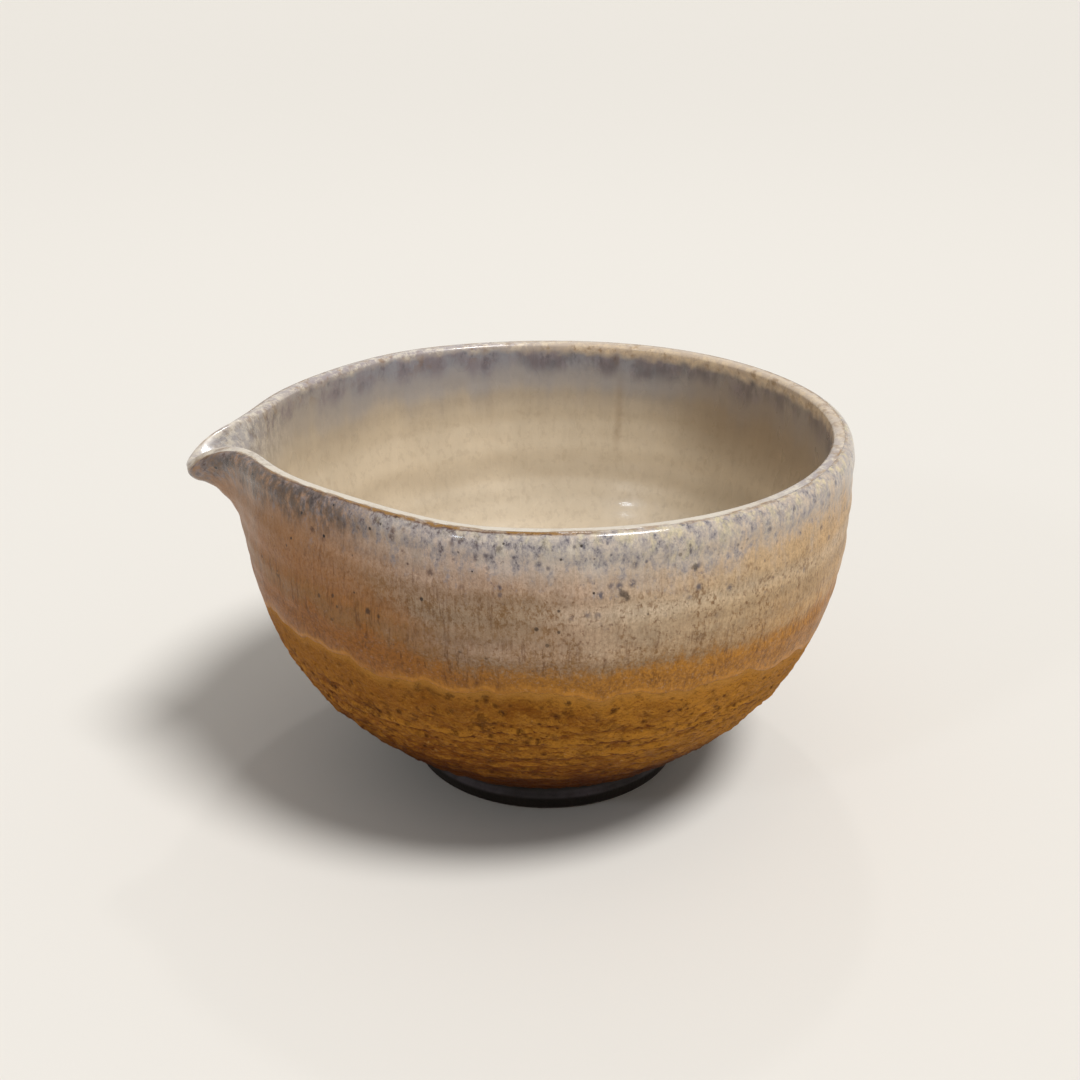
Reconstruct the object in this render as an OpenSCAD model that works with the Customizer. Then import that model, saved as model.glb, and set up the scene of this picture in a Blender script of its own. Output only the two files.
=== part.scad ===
// Katakuchi: a wheel-thrown stoneware bowl whose rim is drawn out on one side
// into a beak for pouring sake. The bowl turns about Z, stands on Z = 0 and
// pours toward -X. All lengths are in millimetres, all angles in degrees.

/* [Bowl] */
// Widest diameter, over the glaze
bowl_d = 130; // [100:1:180]
// Height from the table to the lip, over the glaze
bowl_h = 79; // [60:1:110]
// Clay wall thickness in the upper half
wall_t = 4.2; // [3:0.1:7]
// Clay floor thickness above the hollow of the foot
floor_t = 5.5; // [4:0.1:9]
// Angle at which the wall leaves the foot, above level
root_angle = 33; // [22:1:45]
// Fullness of the lower wall, as a share of the radius
low_fullness = 0.51; // [0.35:0.01:0.6]
// Fullness of the upper wall, as a share of the height
high_fullness = 0.5; // [0.35:0.01:0.6]

/* [Lip] */
// Flat width of the clay lip
lip_t = 1.9; // [1.4:0.1:3.5]
// Width of the rounded shoulder outside the lip
shoulder_w = 1.6; // [0.8:0.1:3]
// Height of the rounded shoulder outside the lip
shoulder_h = 3; // [1.5:0.1:5]

/* [Foot] */
// Outside diameter of the foot ring
foot_d = 61; // [44:1:80]
// Height of the foot ring
foot_h = 6.5; // [4.5:0.1:12]
// Width of the foot ring across its resting face
foot_wall = 6.5; // [4:0.1:10]
// Depth of the trimmed root above the ledge of the foot
ledge_w = 1.1; // [0.5:0.1:2]

/* [Spout] */
// Angle through which the wall is turned at the tip of the beak
spout_turn = 92; // [60:1:110]
// Length of wall that is drawn out into the beak
spout_reach = 25; // [16:0.5:30]
// How late the beak curls, 1 for an even curl
spout_curl = 1.65; // [1:0.05:2.2]
// Half width of the beak at the rim, around the bowl
beak_half = 23; // [15:1:32]
// How narrow the beak is drawn, higher is narrower
beak_draw = 18; // [6:1:30]
// Depth of the finger pinch in the cheek on the -Y side
pinch_left = 2.6; // [0:0.1:4]
// Depth of the finger pinch in the cheek on the +Y side
pinch_right = 1.2; // [0:0.1:4]
// Angle of each cheek's pinch from the beak
pinch_at = 44; // [34:1:50]
// Height of wall that is drawn or pinched
drawn_h = 30; // [30:1:36]

/* [Glaze] */
// Thickness of the pale coat and the liner
glaze_t = 0.5; // [0.3:0.05:1]
// Thickness of the amber coat below the glaze line
ash_t = 0.25; // [0.15:0.05:0.5]
// Height of the glaze line above the table
glaze_line = 45; // [24:1:45]

/* [Throwing rings] */
// Pitch of the throwing rings
ring_pitch = 8; // [5:0.5:12]
// Depth of the throwing rings
ring_depth = 0.25; // [0:0.05:0.6]

/* [Hidden] */
$fn = 128;
clay_r = bowl_d / 2 - glaze_t;
clay_h = bowl_h - glaze_t;
foot_r = min(foot_d / 2, 0.7 * clay_r);
root_r = foot_r - ledge_w;
hollow_r = foot_r - foot_wall;
floor_z = foot_h + floor_t;
shoulder_z = clay_h - shoulder_h;
drawn_z = bowl_h - drawn_h;
line_z = min(glaze_line, drawn_z - 4);
bead_h = 2.4;
pinch_half = 27;
cheek_end = 72;

// Control points of the clay wall, outside and inside.
rim_r = clay_r - 0.005 * clay_r;
outer_bow = [
    [foot_r, foot_h],
    [foot_r, foot_h] + low_fullness * clay_r * [cos(root_angle), sin(root_angle)],
    [1.022 * clay_r, shoulder_z - high_fullness * (shoulder_z - foot_h)],
    [rim_r, shoulder_z]];
lip_in_r = rim_r - shoulder_w - lip_t;
lip_round = 0.6;
inner_z = clay_h - lip_round;
inner_bow = [
    [0, floor_z],
    [0.78 * clay_r, floor_z],
    [1.025 * clay_r - wall_t, inner_z - 0.58 * (inner_z - floor_z)],
    [lip_in_r, inner_z]];
wall_mid = (rim_r + lip_in_r) / 2;

function bow(p, t) = pow(1 - t, 3) * p[0] + 3 * t * pow(1 - t, 2) * p[1]
    + 3 * t * t * (1 - t) * p[2] + pow(t, 3) * p[3];
function bow_dir(p, t) = 3 * pow(1 - t, 2) * (p[1] - p[0])
    + 6 * t * (1 - t) * (p[2] - p[1]) + 3 * t * t * (p[3] - p[2]);
// Place along a wall curve at height z, found by halving.
function bow_at(p, z, lo = 0, hi = 1, n = 24) = n == 0 ? (lo + hi) / 2
    : let (m = (lo + hi) / 2)
      bow(p, m)[1] < z ? bow_at(p, z, m, hi, n - 1) : bow_at(p, z, lo, m, n - 1);
function ease(x) = let (c = max(0, min(1, x))) c * c * (3 - 2 * c);

// Throwing rings run up the wall and die away below the drawn part.
function rings(z) = ring_depth * sin(360 * z / ring_pitch)
    * ease((z - foot_h) / 8) * ease((drawn_z - z) / 8);

// Radius of the clay at height z with a coat of thickness c over it.
function out_r(z, c) = let (d = bow_dir(outer_bow, bow_at(outer_bow, z)))
    bow(outer_bow, bow_at(outer_bow, z))[0] + rings(z) + c * norm(d) / max(d[1], 0.2);
function in_r(z, c) = let (d = bow_dir(inner_bow, bow_at(inner_bow, z)))
    bow(inner_bow, bow_at(inner_bow, z))[0] - rings(z) - c * norm(d) / max(d[1], 0.2);

function flipped(v) = [for (i = [len(v) - 1:-1:0]) v[i]];
function after_first(v) = [for (i = [1:len(v) - 1]) v[i]];
function steps(a, b, n) = [for (i = [0:n]) a + (b - a) * i / n];
function out_line(a, b, n, c) = [for (z = steps(a, b, n)) [out_r(z, c), z]];
function in_line(a, b, n, c) = [for (z = steps(a, b, n)) [in_r(z, c), z]];

// The pale coat rolls to a bead where it stops at the glaze line.
function coat(z) = glaze_t * (1 + 0.5 * ease(1 - (z - line_z) / bead_h));

// Bottom of the bowl inside, up to the drawn part, with a coat c on it.
function bowl_floor(n, c) = [for (i = [0:n - 1])
    let (t = bow_at(inner_bow, drawn_z) * i / n, d = bow_dir(inner_bow, t),
         p = bow(inner_bow, t))
    i == 0 ? [0, p[1] + c]
    : p + c * [-d[1], d[0]] / norm(d) - [rings(p[1]) * ease(i / 12), 0]];

// Shoulder, flat and inner round of the lip, with a coat c on them.
function shoulder(c) = [for (a = [18:18:90])
    [rim_r - shoulder_w + (shoulder_w + c) * cos(a), shoulder_z + (shoulder_h + c) * sin(a)]];
function lip_turn(c) = [for (a = [90:15:150])
    [lip_in_r + lip_round + (lip_round + c) * cos(a), inner_z + (lip_round + c) * sin(a)]];

rows_low = 40;
rows_mid = 8;
rows_up = 9;
function drawn_out(c) = concat(out_line(drawn_z, shoulder_z, rows_up, c), shoulder(c));
function drawn_in(c) = concat(lip_turn(c),
    [for (i = [0:rows_up]) let (z = inner_z + (drawn_z - inner_z) * i / rows_up) [in_r(z, c), z]]);

// The draw: how far the wall is curled out at angle a from the beak, and how
// far the cheek is pinched in there.
function draw(a) = let (u = min(1, abs(a) / beak_half))
    spout_turn * pow(1 - u * u, 2) / (1 + beak_draw * u * u);
function pinch(a) = let (u = min(1, abs(abs(a) - pinch_at) / pinch_half))
    (a > 0 ? pinch_left : pinch_right) * pow(1 - u * u, 2);

curl_n = 20;
curl_ones = [for (i = [1:curl_n]) 1];
function curl_sum(v) = v * curl_ones / curl_n;
function drawn_pt(p, a) = let (
    q = p[0] - pinch(a) * ease((p[1] - drawn_z) / drawn_h) - wall_mid,
    s = max(0, (p[1] - bowl_h + spout_reach) / spout_reach),
    turn = [for (i = [1:curl_n]) draw(a) * pow(s * (i - 0.5) / curl_n, spout_curl)],
    end = draw(a) * pow(s, spout_curl),
    r = wall_mid + q * cos(end) + spout_reach * s * curl_sum([for (t = turn) sin(t)]),
    z = (s > 0 ? bowl_h - spout_reach + spout_reach * s * curl_sum([for (t = turn) cos(t)]) : p[1])
        - q * sin(end))
    [-r * cos(a), -r * sin(a), z];

// Columns of the drawn part, close together at the beak.
cols = 44;
col_angles = [for (i = [0:cols]) let (v = 2 * i / cols - 1) cheek_end * sign(v) * pow(abs(v), 1.6)];

// A wall of two matching lines of points, swept through the drawn part.
module drawn_solid(front, back) {
    m = len(front);
    pts = [for (a = col_angles) each concat([for (p = front) drawn_pt(p, a)],
                                            [for (p = back) drawn_pt(p, a)])];
    w = 2 * m;
    faces = concat(
        [for (j = [0:cols - 1], i = [0:m - 2]) each let (k = j * w + i)
            [[k, k + 1, k + w + 1], [k, k + w + 1, k + w]]],
        [for (j = [0:cols - 1], i = [0:m - 2]) each let (k = j * w + m + i)
            [[k, k + w + 1, k + 1], [k, k + w, k + w + 1]]],
        [for (j = [0:cols - 1]) each let (k = j * w)
            [[k, k + w, k + w + m], [k, k + w + m, k + m]]],
        [for (j = [0:cols - 1]) each let (k = j * w + m - 1)
            [[k, k + w + m, k + w], [k, k + m, k + w + m]]],
        [for (i = [0:m - 2]) each [[i, i + m, i + m + 1], [i, i + m + 1, i + 1]]],
        [for (i = [0:m - 2]) each let (k = cols * w + i)
            [[k, k + m + 1, k + m], [k, k + 1, k + m + 1]]]);
    polyhedron(points = pts, faces = faces, convexity = 6);
}

// The part of the ring that is drawn, taken out of every turned piece.
module drawn_notch() {
    rotate([0, 0, 180 - cheek_end])
        rotate_extrude(angle = 2 * cheek_end)
            translate([0.3 * bowl_d / 2, drawn_z])
                square([bowl_d, bowl_h]);
}

module turned(points) {
    rotate_extrude() polygon(points);
}

module thrown_body() {
    color([0.36, 0.27, 0.2])
    difference() {
        turned(concat(
            [[0, foot_h + 0.6], [hollow_r, foot_h]],
            out_line(foot_h, line_z, rows_low, 0),
            after_first(out_line(line_z, drawn_z, rows_mid, 0)),
            after_first(drawn_out(0)),
            drawn_in(0),
            flipped(bowl_floor(34, 0))));
        drawn_notch();
    }
}

module spout() {
    color([0.36, 0.27, 0.2])
    drawn_solid(
        drawn_out(0),
        flipped(drawn_in(0)));
}

module foot_ring() {
    color([0.2, 0.17, 0.15])
    turned([
        [hollow_r + 0.8, 0], [foot_r - 1.6, 0], [foot_r - 0.6, 0.9],
        [foot_r, 0.55 * foot_h], [foot_r - 0.7 * ledge_w, 0.7 * foot_h],
        [root_r, foot_h], [hollow_r - 0.8, foot_h], [hollow_r - 0.2, 0.9]]);
}

module liner_glaze() {
    color([0.68, 0.6, 0.46])
    difference() {
        turned(concat(
            bowl_floor(34, glaze_t), flipped(drawn_in(glaze_t)),
            [[rim_r - shoulder_w, bowl_h], [rim_r - shoulder_w, clay_h]],
            drawn_in(0), flipped(bowl_floor(34, 0))));
        drawn_notch();
    }
}

module outer_glaze() {
    color([0.72, 0.68, 0.64])
    difference() {
        turned(concat(
            out_line(line_z, drawn_z, rows_mid, 0),
            after_first(drawn_out(0)),
            flipped(after_first(drawn_out(glaze_t))),
            [for (z = steps(drawn_z, line_z, rows_mid)) [out_r(z, coat(z)), z]]));
        drawn_notch();
    }
}

module ash_glaze() {
    color([0.58, 0.4, 0.2])
    turned(concat(
        out_line(foot_h, line_z, rows_low, 0),
        out_line(line_z, foot_h, rows_low, ash_t)));
}

module spout_glaze() {
    color([0.78, 0.75, 0.7])
    drawn_solid(
        concat(drawn_out(glaze_t), drawn_in(glaze_t)),
        concat(drawn_out(0), drawn_in(0)));
}

thrown_body();
spout();
foot_ring();
liner_glaze();
outer_glaze();
ash_glaze();
spout_glaze();
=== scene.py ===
"""Katakuchi sake pourer: the glazes, the foot and the stage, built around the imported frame.

The bowl turns about Z, stands on Z = 0 and pours toward -X. Objects are in metres. The pot's own
measures are worked in millimetres and turned into metres when a mesh is written.
"""

import math

import bmesh
import bpy
import numpy as np
from mathutils import Matrix, Vector, noise


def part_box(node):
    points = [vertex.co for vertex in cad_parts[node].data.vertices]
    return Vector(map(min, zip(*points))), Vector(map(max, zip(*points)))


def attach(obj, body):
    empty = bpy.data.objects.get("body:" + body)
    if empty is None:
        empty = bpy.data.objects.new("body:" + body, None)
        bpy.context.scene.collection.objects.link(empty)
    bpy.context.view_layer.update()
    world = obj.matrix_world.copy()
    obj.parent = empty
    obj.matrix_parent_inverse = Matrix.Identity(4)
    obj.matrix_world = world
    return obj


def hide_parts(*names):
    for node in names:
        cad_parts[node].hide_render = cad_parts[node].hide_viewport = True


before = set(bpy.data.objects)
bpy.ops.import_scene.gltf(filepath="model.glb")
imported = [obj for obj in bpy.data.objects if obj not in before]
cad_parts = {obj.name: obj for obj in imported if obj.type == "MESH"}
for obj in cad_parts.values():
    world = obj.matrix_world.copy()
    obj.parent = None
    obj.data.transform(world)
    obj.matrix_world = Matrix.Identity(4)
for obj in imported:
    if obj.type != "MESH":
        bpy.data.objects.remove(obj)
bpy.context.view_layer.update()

bl_info = {
    "name": "Katakuchi Sake Pourer",
    "version": (1, 0, 0),
    "blender": (4, 5, 0),
    "location": "3D View > Sidebar > Katakuchi",
    "description": "Builds a glazed stoneware pouring bowl and a plain stage for it",
    "category": "Object",
}

MM = 0.001
LINE_OVERLAP = 1.5 * MM


def tone(red, green, blue):
    """A colour as a painter mixes it on screen, from 0 to 255, as the linear colour a shader takes."""
    parts = (channel / 255 for channel in (red, green, blue))
    return tuple(p / 12.92 if p <= 0.04045 else ((p + 0.055) / 1.055) ** 2.4 for p in parts)


def length_prop(name, description, default):
    """A length that the sidebar shows with its unit."""
    return bpy.props.FloatProperty(
        name=name, description=description, default=default, unit="LENGTH", precision=4)


def colour_prop(name, description, default):
    """A colour that the sidebar shows as a swatch."""
    return bpy.props.FloatVectorProperty(
        name=name, description=description, default=default, subtype="COLOR", size=3, min=0, max=1)


class KatakuchiShape(bpy.types.PropertyGroup):
    """Sizes of the pot, taken from the frame where it shows them."""

    bowl_width: length_prop("Bowl width", "Widest diameter over the glaze", 2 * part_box("outer_glaze")[1].x)
    bowl_height: length_prop("Bowl height", "From the table to the lip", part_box("liner_glaze")[1].z)
    foot_width: length_prop("Foot width", "Outside diameter of the foot ring", 2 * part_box("foot_ring")[1].x)
    foot_height: length_prop(
        "Foot height", "From the table to the root of the foot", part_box("foot_ring")[1].z)
    drawn_height: length_prop(
        "Drawn height", "Height of wall that is drawn or pinched",
        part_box("liner_glaze")[1].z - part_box("spout")[0].z)
    glaze_line: length_prop(
        "Glaze line", "Mean height at which the pale glaze stops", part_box("ash_glaze")[1].z - LINE_OVERLAP)
    coat: length_prop("Glaze coat", "Thickness of the pale glaze and the liner", 0.5 * MM)
    ash_coat: length_prop("Ash coat", "Thickness of the amber coat", 0.25 * MM)
    columns: bpy.props.IntProperty(
        name="Columns", description="Steps of each turned mesh around the pot", default=544, min=96, max=720)


class KatakuchiGlazes(bpy.types.PropertyGroup):
    """Colours of the glazes and the clay."""

    pale: colour_prop("Pale glaze", "Body of the pale glaze", tone(184, 168, 154))
    rose: colour_prop("Rose glaze", "Warmer patches of the pale glaze", tone(196, 168, 149))
    # The drab colour also paints shade on the liner's heel side.
    drab: colour_prop("Drab", "Dull places of the pale glaze and the liner", tone(112, 90, 66))
    ash_grey: colour_prop("Ash grey", "Pale grey ground of the mottle", tone(198, 190, 182))
    rutile: colour_prop("Rutile blue", "Blue-grey mottle below the lip", tone(136, 131, 136))
    slate: colour_prop("Slate", "Darkest pools of the mottle", tone(74, 71, 82))
    haze: colour_prop("Haze", "Blue-grey band inside, below the lip", tone(144, 148, 162))
    # The mauve colour also paints a highlight along the ledge of the foot.
    mauve: colour_prop("Mauve", "Warm grey mottle inside, and ledge of the foot", tone(138, 126, 133))
    cream: colour_prop("Cream", "Lip and pale bands", tone(216, 205, 187))
    straw: colour_prop("Straw", "Yellow side of the pale glaze and the lip", tone(208, 175, 128))
    primrose: colour_prop("Primrose", "Yellow drips below the lip", tone(218, 202, 156))
    # The honey colour also paints glints on the tops of the ash's lumps.
    honey: colour_prop("Honey", "Thin pale glaze, and sparks of the ash", tone(202, 154, 92))
    ochre: colour_prop("Ochre", "Broken edge of the lip", tone(140, 100, 40))
    # The bister colour also paints shade on the liner's heel side.
    bister: colour_prop("Bister", "Dusky brown of thin glaze", tone(136, 101, 58))
    sienna: colour_prop("Sienna", "Scorched glaze about the beak", tone(146, 94, 34))
    # The toast colour is partly the glaze's own toasted brown and partly painted warm bounce light on the
    # beak side.
    toast_and_bounce: colour_prop("Toast", "Glaze toasted by the fire beside the beak", tone(156, 98, 40))
    # The gold colour also paints light on the tops of the ash's ridges and lumps.
    gold: colour_prop("Gold", "Bead of the glaze line and crests of the ash", tone(206, 141, 52))
    amber: colour_prop("Amber ash", "Ash coat on the lower wall", tone(160, 107, 36))
    # The russet colour also paints shade in the ash's grooves and under its lumps.
    russet: colour_prop("Russet", "Grooves and lower reach of the ash", tone(118, 60, 6))
    umber: colour_prop("Umber", "Dark dust and specks", tone(84, 44, 8))
    moss: colour_prop("Moss", "Brown dust of the pale glaze and runs of the liner", tone(112, 74, 28))
    # The char colour also paints shade under the ash's lumps and toward the foot.
    char: colour_prop("Char", "Root and pits of the ash", tone(68, 29, 3))
    iron: colour_prop("Iron", "Specks and blots of iron", tone(40, 31, 28))
    khaki: colour_prop("Khaki liner", "Body of the liner", tone(211, 195, 170))
    # The olive colour also paints shade in the hollow of a ring inside.
    olive: colour_prop("Olive", "Upper wall and thin rings of the liner", tone(176, 159, 134))
    clay: colour_prop("Stoneware", "Bare clay under the pot", tone(112, 84, 62))
    foot: colour_prop("Foot clay", "Dark clay of the foot ring", tone(22, 16, 11))


class KatakuchiStage(bpy.types.PropertyGroup):
    """Camera, light and floor."""

    turn: bpy.props.FloatProperty(
        name="Turn", description="How far the camera stands round toward the beak",
        default=math.radians(10.3), subtype="ANGLE")
    pitch: bpy.props.FloatProperty(
        name="Pitch", description="How far the camera looks down",
        default=math.radians(23.24), subtype="ANGLE")
    distance: length_prop("Distance", "From the camera to the point it aims at", 0.3156)
    aim_height: length_prop("Aim height", "Height of the point that the camera aims at", 0.05065)
    aim_left: length_prop("Aim left", "How far left of the pot's axis the camera aims", 0.00143)
    lens: bpy.props.FloatProperty(
        name="Lens", description="Focal length on a 36 mm sensor, in millimetres", default=47.7, min=10)
    floor: colour_prop("Floor", "Colour of the floor", tone(226, 222, 215))
    backdrop: colour_prop("Backdrop", "Colour of the backdrop behind the floor", tone(238, 234, 227))
    daylight: bpy.props.FloatProperty(
        name="Daylight", description="Strength of the even light all round", default=0.34, min=0)
    key: bpy.props.FloatProperty(
        name="Key light", description="Strength of the broad light from above right", default=2.6, min=0)
    spark: bpy.props.FloatProperty(
        name="Spark light", description="Power of the small lamp behind, in watts", default=0.5, min=0)


# The potter's shape

def bow(points, t):
    """Point of a cubic curve at each t."""
    t = np.asarray(t, float)[..., None]
    p = np.asarray(points, float)
    return ((1 - t) ** 3 * p[0] + 3 * t * (1 - t) ** 2 * p[1]
            + 3 * t ** 2 * (1 - t) * p[2] + t ** 3 * p[3])


def ease(x):
    """Smooth step from 0 to 1."""
    x = np.clip(x, 0, 1)
    return x * x * (3 - 2 * x)


def waves(angle, *terms):
    """Sum of waves around the pot, each given by its count, its height and its phase."""
    return sum(height * np.sin(count * angle + phase) for count, height, phase in terms)


def cycle(run, pitch):
    """Phase of a wave that comes again every pitch along a run."""
    return 2 * math.pi * run / pitch


class Pot:
    """Measures of the pot in millimetres, and the curves that follow from them.

    Angles go round the pot from the beak, positive toward -Y. Shares are parts of the clay's radius,
    and drops are parts of the height, where the handles of a wall's curve lie.
    """

    root_angle = math.radians(33)
    root_share = 0.51
    belly_share = 1.022
    belly_drop = 0.5
    rim_share = 0.995
    floor_share = 0.78
    hollow_share = 1.025
    hollow_drop = 0.58
    curve_points = 801
    wall = 4.2
    lip_flat = 1.9
    lip_round = 0.6
    shoulder_width = 1.6
    shoulder_height = 3.0
    floor_thickness = 5.5
    foot_wall = 6.5
    ledge = 1.1
    spout_turn = math.radians(92)
    spout_reach = 25.0
    spout_curl = 1.65
    beak_half = math.radians(23)
    beak_draw = 18.0
    draw_steps = 24
    pinch_at = math.radians(44)
    pinch_half = math.radians(27)
    pinch_near = 2.6
    pinch_far = 1.2
    line_swing = 5.0
    line_high_at = math.radians(35)
    line_waves = ((4, 0.5, 1.0), (9, 0.45, 2.3), (19, 0.55, 1.02), (29, 0.35, 4.0),
                  (43, 0.28, 0.6), (67, 0.2, 1.7), (97, 0.13, 3.1))
    line_grip = 14.0
    coat_sink = 0.1
    settle_and_light_step = 0.35
    crowding = 0.5
    wall_rows = 96
    ash_rows = 118
    liner_rows = 120
    lip_rows = 8
    round_rows = 14
    back_rows = 12

    def __init__(self, shape):
        self.coat = shape.coat / MM
        self.ash = shape.ash_coat / MM
        self.height = shape.bowl_height / MM
        self.clay_r = shape.bowl_width / 2 / MM - self.coat
        self.clay_h = self.height - self.coat
        self.foot_r = shape.foot_width / 2 / MM
        self.foot_h = shape.foot_height / MM
        self.drawn_h = shape.drawn_height / MM
        self.line_z = shape.glaze_line / MM
        self.columns = shape.columns
        self.floor_z = self.foot_h + self.floor_thickness
        self.hollow_r = self.foot_r - self.foot_wall
        self.rim_r = self.rim_share * self.clay_r
        self.lip_edge = self.rim_r - self.shoulder_width
        self.lip_in = self.lip_edge - self.lip_flat
        self.shoulder_z = self.clay_h - self.shoulder_height
        self.inner_z = self.clay_h - self.lip_round
        self.wall_mid = (self.rim_r + self.lip_in) / 2
        root = np.array([self.foot_r, self.foot_h])
        lean = np.array([math.cos(self.root_angle), math.sin(self.root_angle)])
        rise = self.shoulder_z - self.foot_h
        outer = [root, root + self.root_share * self.clay_r * lean,
                 (self.belly_share * self.clay_r, self.shoulder_z - self.belly_drop * rise),
                 (self.rim_r, self.shoulder_z)]
        depth = self.inner_z - self.floor_z
        inner = [(0, self.floor_z), (self.floor_share * self.clay_r, self.floor_z),
                 (self.hollow_share * self.clay_r - self.wall, self.inner_z - self.hollow_drop * depth),
                 (self.lip_in, self.inner_z)]
        places = np.linspace(0, 1, self.curve_points)
        self.outer = bow(outer, places)
        self.inner = bow(inner, places)

    def out_r(self, z, coat=0.0):
        """Radius of the outer wall at height z under a coat."""
        r = np.interp(z, self.outer[:, 1], self.outer[:, 0])
        slope = np.interp(z, self.outer[:, 1], np.gradient(self.outer[:, 0], self.outer[:, 1]))
        return r + coat * np.hypot(1, slope)

    def inside(self, count, coat=0.0):
        """Floor and inner wall from the axis to the lip, under a coat, evenly spaced."""
        step = np.hypot(*np.gradient(self.inner, axis=0).T)
        run = np.cumsum(step) - step[0]
        at = np.interp(np.linspace(0, run[-1], count + 1), run, np.linspace(0, 1, len(run)))
        spots = np.linspace(0, 1, len(run))
        points = np.stack([np.interp(at, spots, self.inner[:, k]) for k in (0, 1)], -1)
        way = np.gradient(points, axis=0)
        way[0] = (1, 0)
        square = np.stack([-way[:, 1], way[:, 0]], -1) / np.hypot(*way.T)[:, None]
        return points + coat * square

    def shoulder(self, count, coat=0.0):
        """Round of the lip from its edge down to the outer wall."""
        turn = np.linspace(math.pi / 2, 0, count + 1)
        return np.stack([self.lip_edge + (self.shoulder_width + coat) * np.cos(turn),
                         self.shoulder_z + (self.shoulder_height + coat) * np.sin(turn)], -1)

    def lip_turn(self, count, coat=0.0):
        """Round of the lip from the inner wall up to its flat."""
        turn = np.linspace(math.radians(165), math.pi / 2, count + 1)
        return np.stack([self.lip_in + self.lip_round + (self.lip_round + coat) * np.cos(turn),
                         self.inner_z + (self.lip_round + coat) * np.sin(turn)], -1)

    def line_shift(self, angle):
        """How far the glaze line lies above its mean at an angle round the pot."""
        return self.line_swing * np.cos(angle - self.line_high_at) + waves(angle, *self.line_waves)

    def draw(self, angle):
        """How far the wall is turned out at an angle from the beak."""
        u = np.minimum(np.abs(angle) / self.beak_half, 1)
        return self.spout_turn * (1 - u * u) ** 2 / (1 + self.beak_draw * u * u)

    def pinch(self, angle):
        """How far the cheek is pressed in at an angle from the beak."""
        u = np.minimum(np.abs(np.abs(angle) - self.pinch_at) / self.pinch_half, 1)
        return np.where(angle > 0, self.pinch_near, self.pinch_far) * (1 - u * u) ** 2

    def drawn(self, r, z, angle):
        """Where the wall goes when the beak is drawn and the cheeks are pinched."""
        start = self.height - self.drawn_h
        off = r - self.pinch(angle) * ease((z - start) / self.drawn_h) - self.wall_mid
        along = np.maximum(0, (z - self.height + self.spout_reach) / self.spout_reach)
        turn = self.draw(angle)
        run, climb = np.zeros_like(r), np.zeros_like(r)
        for k in range(self.draw_steps):
            bent = turn * (along * (k + 0.5) / self.draw_steps) ** self.spout_curl
            run += np.sin(bent) / self.draw_steps
            climb += np.cos(bent) / self.draw_steps
        end = turn * along ** self.spout_curl
        reach = self.spout_reach * along
        level = np.where(along > 0, self.height - self.spout_reach + reach * climb, z)
        return self.wall_mid + off * np.cos(end) + reach * run, level - off * np.sin(end)

    def handled(self, r, z, angle):
        """The slight lean and waver that a hand leaves in a thrown pot."""
        up = np.clip(z / self.height, 0, 1)
        spread = waves(angle, (2, 0.3, 0.7), (3, 0.22, 2.1))
        lift = 0.3 * np.cos(angle) + waves(angle, (2, 0.18, 1.9), (5, 0.1, 0.4))
        return r + up ** 1.5 * np.minimum(r / 40, 1) * spread, z + up ** 3 * lift


def roughness(pot, z, angle, across, up, octaves):
    """Rough noise over the wall, with grains of a width and a height in millimetres."""
    r = pot.out_r(z)
    spots = np.stack([r * np.cos(angle) / across, r * np.sin(angle) / across, z / up], -1)
    damping = 0.9
    finer = 2.1
    return np.array([noise.fractal(spot, damping, finer, octaves) for spot in spots])


def thrown_relief(pot, z, angle, below_lip):
    """Spiral of the throwing fingers on the outside, in millimetres."""
    turns = 0.1 * np.sin(cycle(z, 9.5) + angle + 0.5 * np.sin(2 * angle))
    turns += 0.06 * np.sin(cycle(z, 4.3) + 2 * angle + 1.0)
    dents = 0.09 * np.sin(5 * angle + z / 6) * np.sin(3 * angle - z / 9 + 1.3)
    over_line = z - pot.line_z - pot.line_shift(angle)
    return (turns + dents) * ease((below_lip - 1) / 5) * ease((over_line - 0.5) / 5)


def liner_relief(pot, z, angle, below_lip):
    """Two broad finger rings and faint turns inside the bowl, in millimetres."""
    course = below_lip - 30 - 1.5 * np.sin(angle + 1) - 0.6 * np.sin(3 * angle)
    rings = 0.26 * np.exp(-(course / 4.2) ** 2) + 0.16 * np.exp(-((course - 17) / 5) ** 2)
    rings += 0.06 * np.sin(cycle(below_lip, 13) - angle + 0.4 * np.sin(2 * angle + 1))
    rings += 0.03 * np.sin(cycle(below_lip, 5.2) - 2 * angle)
    return rings * ease((below_lip - 4) / 10) * (1 - 0.5 * ease((below_lip - 70) / 20))


def trimmed_relief(pot, z, angle, below_lip):
    """Torn ridges that the trimming tool leaves on the lower wall, in millimetres."""
    under_line = pot.line_z + pot.line_shift(angle) - z
    course = z + 1.1 * roughness(pot, z, angle, 16, 9, 2)
    ridges = 0.2 * np.sin(cycle(course, 4.9) + angle)
    ridges += 0.15 * np.sin(cycle(course, 2.8) - angle + 1.2)
    come = np.clip(0.5 + 1.3 * roughness(pot, z, angle, 10, 3, 2), 0, 1)
    lumps = 0.36 * roughness(pot, z, angle, 2.4, 1.3, 3)
    return ridges * come * ease((under_line - 6) / 6) + lumps * (0.2 + 0.8 * ease((under_line - 2) / 9))


def no_relief(pot, z, angle, below_lip):
    """A plain surface."""
    return np.zeros_like(z)


# Turned meshes

SECTORS = 8
WELD = 1e-6
CARRIED = ("below_lip", "face_r", "face_z")


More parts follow.
